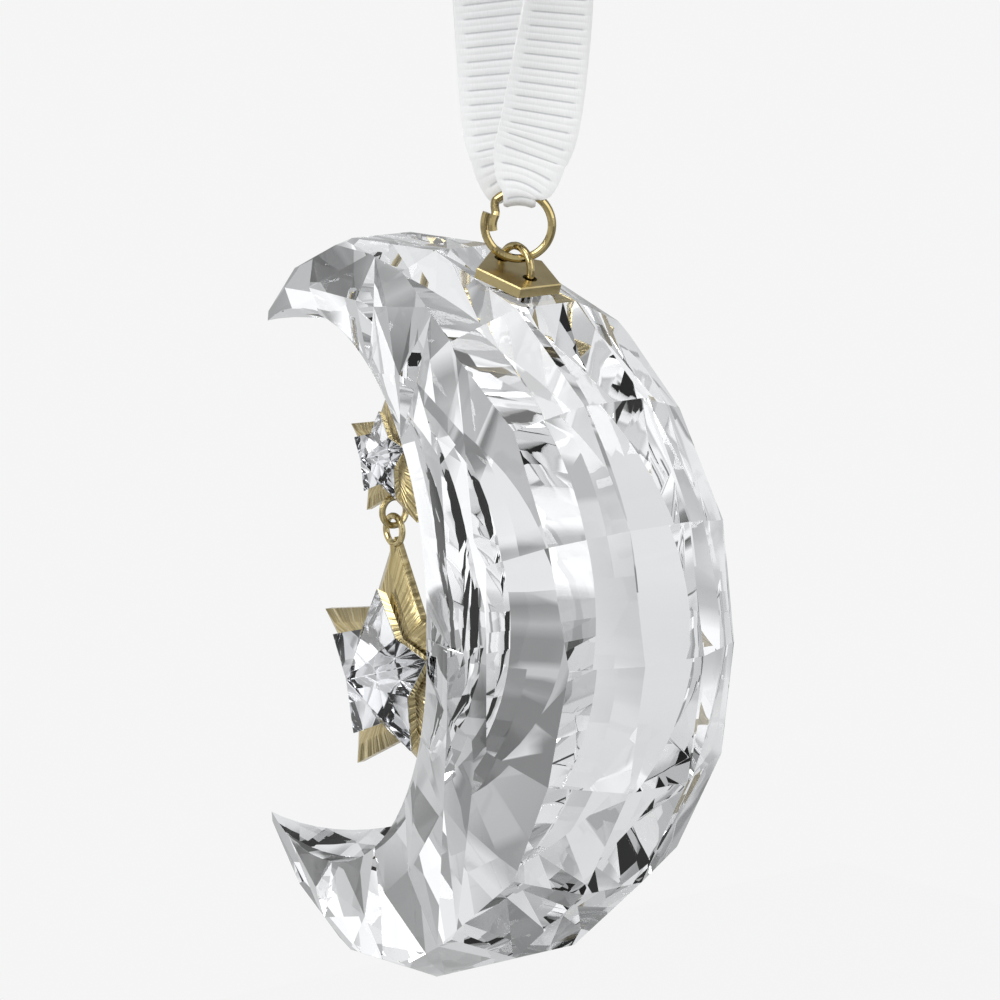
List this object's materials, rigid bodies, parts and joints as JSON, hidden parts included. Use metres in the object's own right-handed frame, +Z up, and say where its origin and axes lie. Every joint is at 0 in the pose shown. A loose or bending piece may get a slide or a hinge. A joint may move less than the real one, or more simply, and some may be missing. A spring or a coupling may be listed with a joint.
{
  "type": "hanging crescent moon ornament with stars",
  "caption": "Faceted crystal crescent moon that hangs from a ribbon loop by a gilt split ring and cap, with a small fixed star and a large dangling star in its opening.",
  "frame": {"origin": "inside of the top of the ribbon loop, the point that hangs on a hook or twig", "axes": "+Z up, -Y towards the front with the star stones, -X the side to which the crescent opens"},
  "size_m": [0.0588, 0.0246, 0.1195],
  "materials": {
    "crystal": "cut and polished, colourless",
    "star_crystal": "cut and polished, colourless",
    "champagne_gilt": "satin pale gold plate",
    "white_grosgrain": "matte ribbed weave"
  },
  "bodies": {
    "ribbon": {"ribbon": "white_grosgrain"},
    "ring": {"jump_ring": "champagne_gilt"},
    "moon": {"crystal_moon": "crystal", "cap_plate": "champagne_gilt", "eye_staple": "champagne_gilt", "small_star_frame": "champagne_gilt", "small_star_stone": "star_crystal"},
    "large_star": {"large_star_frame": "champagne_gilt", "large_star_stone": "star_crystal"}
  },
  "joints": [
    {"name": "ring_in_ribbon", "type": "hinge", "parent": "ribbon", "child": "ring", "pos_m": [0, 0, -0.04375], "axis": [0.6428, 0.766, 0], "range_deg": [-30, 30]},
    {"name": "moon_on_ring", "type": "hinge", "parent": "ring", "child": "moon", "pos_m": [0, 0, -0.04995], "axis": [0.766, -0.6428, 0], "range_deg": [-20, 20]},
    {"name": "large_star_swing", "type": "hinge", "parent": "moon", "child": "large_star", "pos_m": [-0.01888, 0.0007, -0.0771], "axis": [0.9959, -0.0906, 0], "range_deg": [-40, 40]}
  ]
}
